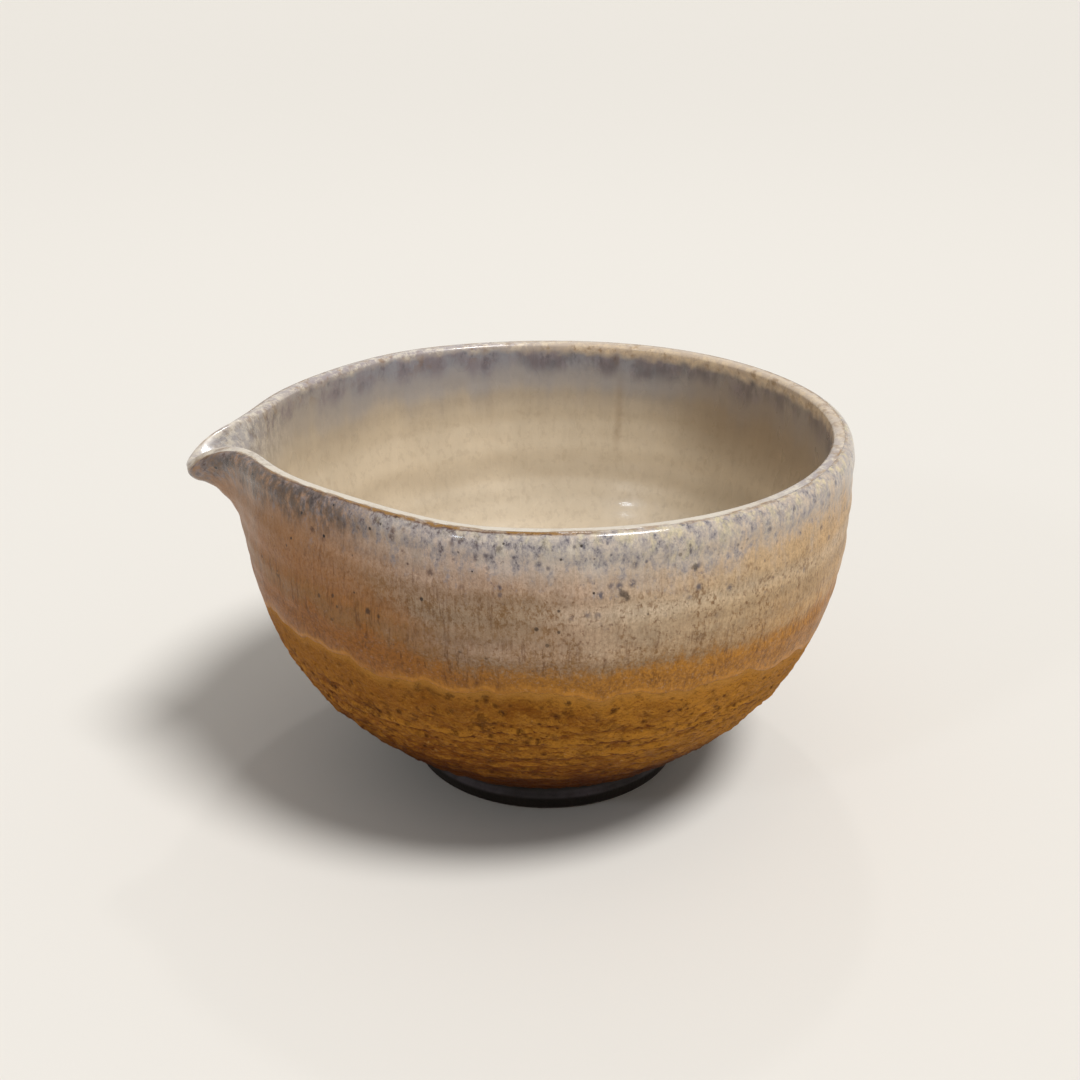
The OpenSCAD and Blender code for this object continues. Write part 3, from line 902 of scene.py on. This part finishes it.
class LinerGlaze(Recipe):
    """Liner: glossy khaki with soft rings, blue-grey under a cream lip, and a few olive runs, with painted
    shade in a ring's hollow and on the heel side, and a painted highlight on the far lip.
    """

    def __init__(self, glazes):
        super().__init__(glazes, "liner_glaze", "khaki")
        self.below = self.attribute("below_lip")
        self.soft = self.shifted(self.below, self.noise(130, 25), 2.6)
        # Inner wall on the heel side, where shade is painted.
        self.shaded_heel = self.between(self.toward(195), 0.68, 0.99)
        self.far = self.between(self.toward(-150), 0.2, 0.85)

    def made(self):
        """The material, from the body up to the skin."""
        self.body()
        self.runs()
        self.haze()
        self.lip()
        self.trough()
        self.lay("umber", self.specks(120, 120, 0.1, 0.3), 0.6)

        skin = self.bump(self.noise(420, 260, detail=2), 0.06 * MM)
        skin = self.bump(self.noise(60, detail=2), 0.4 * MM, skin)
        rough = self.between(self.noise(120, 60, detail=2), 0.3, 0.7, 0.24, 0.36)
        return self.finish(rough, skin, coat=0.35, coat_rough=0.08)

    def body(self):
        """Patches, rings and streaks of the khaki, and painted shade in the hollow of a ring."""
        self.tint(self.noise(42), 0.3, 0.7, 0.94, 1.05)
        self.tint(self.noise(4, 60, detail=2, rough=0.5), 0.34, 0.66, 0.95, 1.04)
        self.tint(self.noise(300, 14, detail=4, rough=0.6), 0.3, 0.7, 0.97, 1.02)
        self.lay("drab", self.grain(0.5, 0.64, 600, 420, detail=4, rough=0.65), 0.12)
        # Painted shade in the hollow below a ring.
        hollow = self.band(self.shifted(self.below, self.noise(40, 20, detail=2), 2.0), 34.5, 5.0)
        self.lay("olive", hollow, 0.45)

    def runs(self):
        """The duller upper wall with its stains and runs, one long tear, and painted shade on the heel side.
        """
        self.lay("olive", self.between(self.soft, 30, 11), 0.6)
        stains = self.grain(0.46, 0.66, 150, 26, detail=4)
        stained = self.product(self.between(self.soft, 8, 13), self.between(self.soft, 28, 16))
        self.lay("drab", stains, stained, 0.1)
        runs = self.grain(0.6, 0.76, 110, 5, detail=2)
        reach = self.product(self.between(self.soft, 7, 12), self.between(self.soft, 40, 26))
        self.lay("moss", runs, reach, 0.15)
        aside = self.shifted(self.toward(-28), self.noise(60, 30, detail=2), 0.008)
        tear = self.product(self.band(aside, 0.0, 0.028), self.between(self.toward(-118), 0.0, 0.2))
        self.lay("moss", tear, self.between(self.below, 32, 24), self.between(self.below, 6, 12), 0.24)
        # Painted shade: the inner wall on the heel side darker and browner.
        heel_shade = self.product(self.shaded_heel, self.between(self.below, 38, 14))
        self.lay("drab", heel_shade, 0.45)
        self.lay("bister", heel_shade, 0.4)

    def haze(self):
        """Blue-grey band under the lip, with mauve patches and dark notches."""
        # The blue-grey haze is weaker on the heel side, as part of its painted shade.
        cool = self.from_to(self.shaded_heel, 1.0, 0.4)
        cool = self.product(cool, self.between(self.toward(-20), 0.75, 0.98, 1.0, 0.45))
        self.lay("haze", self.between(self.soft, 22, 8), cool, 0.4)
        self.lay("haze", self.between(self.soft, 12, 6), cool, 0.75)
        self.lay("haze", self.band(self.soft, 11.5, 4.5), cool, 0.3)
        mauve = self.grain(0.4, 0.62, 190, 120, detail=5, rough=0.65)
        self.lay("mauve", mauve, self.between(self.soft, 11, 6), 0.7)
        notches = self.grain(0.5, 0.66, 330, 200, detail=5, rough=0.65)
        collar = self.product(self.between(self.below, 1.6, 3.4), self.between(self.soft, 8, 4))
        self.lay("slate", notches, collar, 0.5)
        teeth = self.grain(0.4, 0.58, 190, 80, detail=5, rough=0.65)
        self.lay("iron", teeth, self.band(self.soft, 6.5, 4.5), self.from_to(self.far, 0.1, 0.36))
        warm = self.grain(0.56, 0.68, 240, 200, detail=4)
        self.lay("bister", warm, self.between(self.below, 9, 3), 0.4)

    def lip(self):
        """Cream lip, wider and warmer on the far side with a painted highlight on its inner edge that is
        partly paler pooled glaze, mottled elsewhere, with a broken ochre edge.
        """
        hang = self.shifted(self.below, self.noise(260, detail=4), 1.0)
        lip = self.between(self.add(hang, self.far, -1.3), 4.2, 1.8)
        self.lay("cream", lip, 0.9)
        self.lay("straw", lip, self.far, 0.5)
        # Inner edge of the far lip made lighter: partly paler pooled glaze, partly painted highlight.
        bead = self.product(lip, self.far, self.between(self.below, 1.4, 2.6))
        self.tint(bead, 0.0, 1.0, 1.0, 1.22)
        away = self.math("MAXIMUM", self.between(self.toward(65), 0.75, 0.3),
                         self.between(self.toward(0), 0.93, 1.0))
        greys = self.product(self.grain(0.38, 0.57, 420, detail=5, rough=0.72), away)
        self.lay("mauve", greys, self.from_to(self.far, 1.0, 0.4), lip, 0.8)
        tints = self.grain(0.5, 0.66, 330, detail=4, rough=0.7)
        self.lay("bister", tints, lip, self.from_to(away, 0.2, 0.6))
        rim = self.between(self.shifted(self.below, self.noise(400), 0.2), 0.5, 0.15)
        self.lay("ochre", rim, self.grain(0.44, 0.58, 190), 0.8)

    def trough(self):
        """Frosted and scuffed glaze in the trough of the beak."""
        trough = self.product(self.between(self.toward(0), 0.8, 0.97), self.between(self.below, 22, 9))
        self.lay("cream", trough, self.grain(0.44, 0.6, 700, 420, detail=6, rough=0.78), 0.75)
        self.lay("drab", trough, self.grain(0.5, 0.62, 620, 380, detail=7, rough=0.8), 0.5)


class AmberAsh(Recipe):
    """Thin ash over trimming marks: golden crests and russet grooves, partly painted light and shade, dark
    pits, and a charred root that is partly painted shade.
    """

    def __init__(self, glazes):
        super().__init__(glazes, "amber_ash", "amber")
        self.above = self.attribute("above_line")
        self.height = self.attribute("height")
        self.sunny = self.between(self.toward(140), 0.2, 0.95)
        self.spoutward = self.between(self.toward(20), 0.42, 0.97)

    def made(self):
        """The material, from the body up to the skin."""
        self.body()
        tops = self.crests()
        pits = self.dirt_and_glints(tops)
        self.ends()

        skin = self.bump(self.noise(260, 640, detail=5, rough=0.72), 0.9 * MM)
        skin = self.bump(self.noise(900, 1050, detail=5, rough=0.75), 0.9 * MM, skin)
        skin = self.bump(self.rest(pits), 0.5 * MM, skin)
        rough = self.between(self.noise(260, 400), 0.3, 0.7, 0.52, 0.72)
        return self.finish(rough, skin, specular=0.06)

    def body(self):
        """Gold on the sunny side, toasted colour by the beak that is partly painted warm bounce light, russet
        on the shelf and lower down.
        """
        self.lay("gold", self.between(self.noise(70, 130, detail=4, rough=0.6), 0.35, 0.65), 0.5)
        self.lay("gold", self.sunny, 0.85)
        # Toasted colour by the beak, partly painted warm bounce light.
        self.lay("toast_and_bounce", self.spoutward, 0.8)
        shelf = self.band(self.shifted(self.above, self.noise(90, 60), 2.0), -5.5, 5.5)
        front = self.between(self.toward(72), 0.7, 0.97, 0.15, 1.0)
        dull = self.grain(0.38, 0.62, 190, 300, detail=7, rough=0.76)
        self.lay("russet", shelf, front, dull, 0.75)
        reach = self.add(self.shifted(self.height, self.noise(90, 60), 2.5), self.sunny, 10.5)
        self.lay("russet", self.between(reach, 38, 24), 0.9)

    def crests(self):
        """Ash on top of each ridge and lump, and bare grooves, with painted light on the tops and painted
        shade in the grooves and under the lumps. Hands back where the tops are.
        """
        relief = self.attribute("relief")
        deep = self.between(self.above, -4.0, -11.0, 0.25, 1.0)
        # Crests lighter and grooves darker: partly thin and thick ash, partly painted light and shade.
        self.lay("gold", self.between(relief, 0.0, 0.3), deep, 0.4)
        self.lay("russet", self.between(relief, 0.04, -0.34), deep, 0.65)
        # Tops of the lumps lighter and their undersides darker: partly settled ash, partly painted light and
        # shade.
        tops = self.math("ADD", self.attribute("settled_and_lit"), self.settled_and_lit(420, 620, 0.22))
        self.lay("gold", self.between(tops, 0.02, 0.34), deep, 0.5)
        self.lay("russet", self.between(tops, -0.01, -0.3), deep, 0.85)
        self.lay("char", self.between(tops, -0.1, -0.38), deep, 0.75)
        # The same on the finer grains: partly settled ash, partly painted light and shade.
        grains = self.settled_and_lit(1000, 1150, 0.14)
        self.lay("gold", self.between(grains, 0.01, 0.18), 0.35)
        self.lay("russet", self.between(grains, -0.01, -0.18), 0.6)
        return tops

    def dirt_and_glints(self, tops):
        """Golden crumbs that are partly painted glints, smuts, clumps and flies, and the torn pits, which it
        hands back.
        """
        # Golden crumbs on the tops, partly painted glints.
        crumbs_and_glints = self.grain(0.58, 0.68, 620, 820, detail=6, rough=0.78)
        self.lay("honey", crumbs_and_glints, self.between(tops, -0.1, 0.2), 0.7)
        smuts = self.grain(0.53, 0.68, 420, 560, detail=7, rough=0.78)
        self.lay("umber", smuts, self.between(self.above, 0.0, -2.0), 0.5)
        clumps = self.grain(0.52, 0.61, 210, 360, detail=8, rough=0.8)
        sparse = self.from_to(self.sunny, 0.7, 0.3)
        self.lay("umber", clumps, self.between(self.above, -1.0, -3.0), sparse)
        crumbly = self.product(self.grain(0.4, 0.54, 1100, detail=4), self.grain(0.4, 0.54, 90, 130))
        pits = self.product(self.specks(330, 360, 0.44, 0.6, soft=0.8), crumbly)
        self.lay("char", pits, 0.85)
        flies = self.specks(600, 700, 0.6, 0.6, soft=0.8)
        swarms = self.grain(0.42, 0.56, 150, 260, detail=4)
        self.lay("char", flies, swarms, self.between(self.above, -0.5, -3.0), 0.8)
        return pits

    def ends(self):
        """The charred root at the foot, partly painted shade, and the bright bead under the pale glaze."""
        # Darker toward the foot: partly charred ash, partly painted shade.
        root = self.add(self.shifted(self.height, self.noise(160, detail=4), 2.5), self.sunny, 2.0)
        root = self.add(root, self.spoutward, -3.0)
        self.lay("char", self.between(root, 28, 15), 0.93)
        bead = self.between(self.shifted(self.above, self.noise(220), 0.6), -3.0, -0.2)
        self.lay("gold", bead, 0.5)
        self.lay("honey", bead, 0.3)
        self.lay("gold", self.spoutward, self.between(self.above, -14.0, -4.0), 0.25)


class BareClay(Recipe):
    """Bare stoneware: sandy, brown, with grog."""

    def __init__(self, glazes):
        super().__init__(glazes, "bare_clay", "clay")

    def made(self):
        """The material."""
        self.tint(self.noise(60, detail=4), 0.3, 0.7, 0.8, 1.12)
        self.lay("umber", self.grain(0.52, 0.66, 1500, rough=0.7), 0.5)
        self.lay("cream", self.specks(420, 420, 0.25, 0.4), 0.4)
        skin = self.bump(self.noise(900, detail=4, rough=0.7), 0.25 * MM)
        return self.finish(self.between(self.noise(300), 0.3, 0.7, 0.68, 0.85), skin)


class FootClay(Recipe):
    """Trimmed dark clay of the foot, with a painted highlight along its ledge."""

    def __init__(self, glazes):
        super().__init__(glazes, "foot_clay", "foot")

    def made(self):
        """The material."""
        height = self.attribute("height")
        self.tint(self.noise(90, 160, detail=4), 0.3, 0.7, 0.75, 1.2)
        # Painted highlight: a paler mauve streak along the ledge.
        ledge = self.product(self.between(height, 3.0, 3.9), self.between(height, 5.4, 4.4))
        self.lay("mauve", ledge, self.between(self.noise(60), 0.35, 0.65, 0.04, 0.28))
        self.lay("clay", self.between(height, 0.9, 0.2), 0.6)
        self.lay("iron", self.grain(0.54, 0.68, 1300, rough=0.7), 0.5)
        skin = self.bump(self.noise(900, detail=4, rough=0.7), 0.2 * MM)
        return self.finish(self.between(self.noise(260), 0.3, 0.7, 0.5, 0.68), skin, specular=0.2)


# Operators

class PieceOperator:
    """What the operators of the pot share."""

    bl_options = {"REGISTER", "UNDO"}

    def setup(self, context):
        """The pot and its glazes as the sidebar sets them."""
        return Pot(context.scene.katakuchi_shape), context.scene.katakuchi_glazes


class KATAKUCHI_OT_clay(PieceOperator, bpy.types.Operator):
    """Build the clay wall and floor with the trimmed underside"""

    bl_idname = "katakuchi.clay"
    bl_label = "Clay Body"

    def execute(self, context):
        pot, glazes = self.setup(context)
        mesh = turned_mesh("clay_body", pot, clay_chain(pot), no_relief, 1, closed=False)
        clay = BareClay(glazes).made()
        stand_piece("clay_body", mesh, clay, ["thrown_body", "spout"])
        return {"FINISHED"}


class KATAKUCHI_OT_foot(PieceOperator, bpy.types.Operator):
    """Build the trimmed foot ring with its ledge"""

    bl_idname = "katakuchi.foot"
    bl_label = "Foot Ring"

    def execute(self, context):
        pot, glazes = self.setup(context)
        root, hollow, high = pot.foot_r, pot.hollow_r, pot.foot_h
        outline = [(hollow + 0.8, 0), (root - 1.6, 0), (root - 0.6, 0.9), (root, 0.55 * high),
                   (root - 0.7 * pot.ledge, 0.7 * high), (root - pot.ledge, high),
                   (hollow - 0.8, high), (hollow - 0.2, 0.9)]
        mesh = turned_mesh("foot_ring", pot, Chain().add(outline), no_relief, 1, closed=True)
        bm = bmesh.new()
        bm.from_mesh(mesh)
        rings = [e for e in bm.edges if abs(e.verts[0].co.z - e.verts[1].co.z) < 0.02 * MM
                 and e.verts[0].co.z < (high - 0.1) * MM]
        rings = [e for e in rings if abs(e.verts[0].co.xy.length - e.verts[1].co.xy.length) < 0.05 * MM]
        bmesh.ops.bevel(bm, geom=rings, offset=0.35 * MM, segments=3, profile=0.5,
                        affect="EDGES", material=-1)
        bm.to_mesh(mesh)
        bm.free()
        clay = FootClay(glazes).made()
        stand_piece("foot_ring_trimmed", mesh, clay, ["foot_ring"])
        return {"FINISHED"}


class KATAKUCHI_OT_ash(PieceOperator, bpy.types.Operator):
    """Build the thin amber coat of the lower wall"""

    bl_idname = "katakuchi.ash"
    bl_label = "Amber Ash"

    def execute(self, context):
        pot, glazes = self.setup(context)
        mesh = turned_mesh("ash_coat", pot, ash_chain(pot), trimmed_relief, -1, closed=True,
                           follows_line=pot.line_grip)
        ash = AmberAsh(glazes).made()
        stand_piece("ash_coat", mesh, ash, ["ash_glaze"])
        return {"FINISHED"}


class KATAKUCHI_OT_outer(PieceOperator, bpy.types.Operator):
    """Build the pale coat outside with its waving lower edge"""

    bl_idname = "katakuchi.outer"
    bl_label = "Pale Glaze"

    def execute(self, context):
        pot, glazes = self.setup(context)
        mesh = turned_mesh("pale_coat", pot, outer_chain(pot), thrown_relief, -1, closed=True,
                           follows_line=pot.line_grip)
        glaze = PaleGlaze(glazes).made()
        stand_piece("pale_coat", mesh, glaze, ["outer_glaze", "spout_glaze"])
        return {"FINISHED"}


class KATAKUCHI_OT_liner(PieceOperator, bpy.types.Operator):
    """Build the liner inside and over the lip"""

    bl_idname = "katakuchi.liner"
    bl_label = "Liner"

    def execute(self, context):
        pot, glazes = self.setup(context)
        mesh = turned_mesh("liner_coat", pot, liner_chain(pot), liner_relief, -1, closed=False)
        glaze = LinerGlaze(glazes).made()
        stand_piece("liner_coat", mesh, glaze, ["liner_glaze", "spout_glaze"])
        return {"FINISHED"}


def aimed(thing, place, target):
    """Puts a thing in place and turns it to face a target."""
    thing.location = place
    thing.rotation_euler = (Vector(target) - Vector(place)).to_track_quat("-Z", "Y").to_euler()


def hang_light(name, lamp, place, target):
    """Hangs a lamp in the scene, facing a target."""
    light = bpy.data.objects.new(name, lamp)
    bpy.context.scene.collection.objects.link(light)
    aimed(light, place, target)


class KATAKUCHI_OT_stage(bpy.types.Operator):
    """Set the floor, the light and the camera"""

    bl_idname = "katakuchi.stage"
    bl_label = "Stage"
    bl_options = {"REGISTER", "UNDO"}

    def execute(self, context):
        stage = context.scene.katakuchi_stage
        self.lay_floor(stage)
        self.light(context.scene, stage)
        self.set_camera(context.scene, stage)
        context.scene.view_settings.view_transform = "Standard"
        return {"FINISHED"}

    def lay_floor(self, stage):
        """A wide plain floor."""
        bm = bmesh.new()
        bmesh.ops.create_grid(bm, x_segments=1, y_segments=1, size=8.0)
        mesh = bpy.data.meshes.new("floor")
        bm.to_mesh(mesh)
        bm.free()
        floor = bpy.data.objects.new("floor", mesh)
        bpy.context.scene.collection.objects.link(floor)
        paint = bpy.data.materials.new("floor_paint")
        paint.use_nodes = True
        surface = paint.node_tree.nodes["Principled BSDF"]
        surface.inputs["Base Color"].default_value = (*stage.floor, 1)
        surface.inputs["Roughness"].default_value = 0.75
        mesh.materials.append(paint)

    def light(self, scene, stage):
        """Even daylight, a broad key light and two small lamps for the highlights."""
        self.hang_daylight(scene, stage)
        middle = (0, 0, 0.04)
        key = bpy.data.lights.new("key_light", "SUN")
        key.energy = stage.key
        key.angle = math.radians(18)
        hang_light("key_light", key, (0.32, -0.36, 1.0), middle)
        spark = self.disk_lamp("spark_light", stage.spark, 0.06)
        hang_light("spark_light", spark, (0.15, 0.5, 0.9), middle)
        glint = self.disk_lamp("glint_light", 1.2 * stage.spark, 0.1)
        glint.color = (0.78, 0.88, 1.0)
        hang_light("glint_light", glint, (-0.66, -0.5, 0.52), middle)

    def disk_lamp(self, name, power, width):
        """A small round lamp."""
        lamp = bpy.data.lights.new(name, "AREA")
        lamp.energy = power
        lamp.shape = "DISK"
        lamp.size = width
        return lamp

    def hang_daylight(self, scene, stage):
        """A world that lights the pot evenly, and shows the backdrop behind it and in its gloss."""
        world = bpy.data.worlds.new("daylight")
        world.use_nodes = True
        tree = world.node_tree
        sky = tree.nodes["Background"]
        sky.inputs["Color"].default_value = (1.0, 0.98, 0.95, 1)
        sky.inputs["Strength"].default_value = stage.daylight
        backdrop = tree.nodes.new("ShaderNodeBackground")
        backdrop.inputs["Color"].default_value = (*stage.backdrop, 1)
        ray = tree.nodes.new("ShaderNodeLightPath")
        seen = ray.outputs["Is Camera Ray"]
        for kind in ("Is Glossy Ray", "Is Transmission Ray"):
            either = tree.nodes.new("ShaderNodeMath")
            either.operation = "MAXIMUM"
            tree.links.new(seen, either.inputs[0])
            tree.links.new(ray.outputs[kind], either.inputs[1])
            seen = either.outputs[0]
        blend = tree.nodes.new("ShaderNodeMixShader")
        tree.links.new(seen, blend.inputs[0])
        tree.links.new(sky.outputs[0], blend.inputs[1])
        tree.links.new(backdrop.outputs[0], blend.inputs[2])
        tree.links.new(blend.outputs[0], tree.nodes["World Output"].inputs["Surface"])
        scene.world = world

    def set_camera(self, scene, stage):
        """A camera that looks down at the pot from the side, a little toward the beak."""
        lens = bpy.data.cameras.new("photo_camera")
        lens.sensor_width = 36
        lens.lens = stage.lens
        camera = bpy.data.objects.new("photo_camera", lens)
        scene.collection.objects.link(camera)
        level = Vector((math.sin(stage.turn), math.cos(stage.turn), 0))
        right = Vector((level.y, -level.x, 0))
        look = level * math.cos(stage.pitch) - Vector((0, 0, math.sin(stage.pitch)))
        aim = Vector((0, 0, stage.aim_height))
        place = aim - look * stage.distance
        aimed(camera, place, aim - right * stage.aim_left)
        scene.camera = camera


class KATAKUCHI_PT_sidebar(bpy.types.Panel):
    """Sizes, colours and build steps of the pot"""

    bl_idname = "KATAKUCHI_PT_sidebar"
    bl_label = "Katakuchi"
    bl_space_type = "VIEW_3D"
    bl_region_type = "UI"
    bl_category = "Katakuchi"

    def draw(self, context):
        for operator in OPERATORS:
            self.layout.operator(operator.bl_idname)
        for group in ("katakuchi_shape", "katakuchi_glazes", "katakuchi_stage"):
            values = getattr(context.scene, group)
            box = self.layout.box()
            for key in values.bl_rna.properties.keys():
                if key not in {"rna_type", "name"}:
                    box.prop(values, key)


GROUPS = (KatakuchiShape, KatakuchiGlazes, KatakuchiStage)
OPERATORS = (KATAKUCHI_OT_clay, KATAKUCHI_OT_foot, KATAKUCHI_OT_ash, KATAKUCHI_OT_outer,
             KATAKUCHI_OT_liner, KATAKUCHI_OT_stage)
CLASSES = (*GROUPS, *OPERATORS, KATAKUCHI_PT_sidebar)


def register():
    """Adds the settings, the operators and the panel."""
    for cls in CLASSES:
        bpy.utils.register_class(cls)
    bpy.types.Scene.katakuchi_shape = bpy.props.PointerProperty(type=KatakuchiShape)
    bpy.types.Scene.katakuchi_glazes = bpy.props.PointerProperty(type=KatakuchiGlazes)
    bpy.types.Scene.katakuchi_stage = bpy.props.PointerProperty(type=KatakuchiStage)


def unregister():
    """Takes out what register adds."""
    del bpy.types.Scene.katakuchi_stage
    del bpy.types.Scene.katakuchi_glazes
    del bpy.types.Scene.katakuchi_shape
    for cls in reversed(CLASSES):
        bpy.utils.unregister_class(cls)


def main():
    """Builds the pot and its stage."""
    register()
    bpy.ops.katakuchi.clay()
    bpy.ops.katakuchi.foot()
    bpy.ops.katakuchi.ash()
    bpy.ops.katakuchi.outer()
    bpy.ops.katakuchi.liner()
    bpy.ops.katakuchi.stage()


if __name__ == "__main__":
    main()
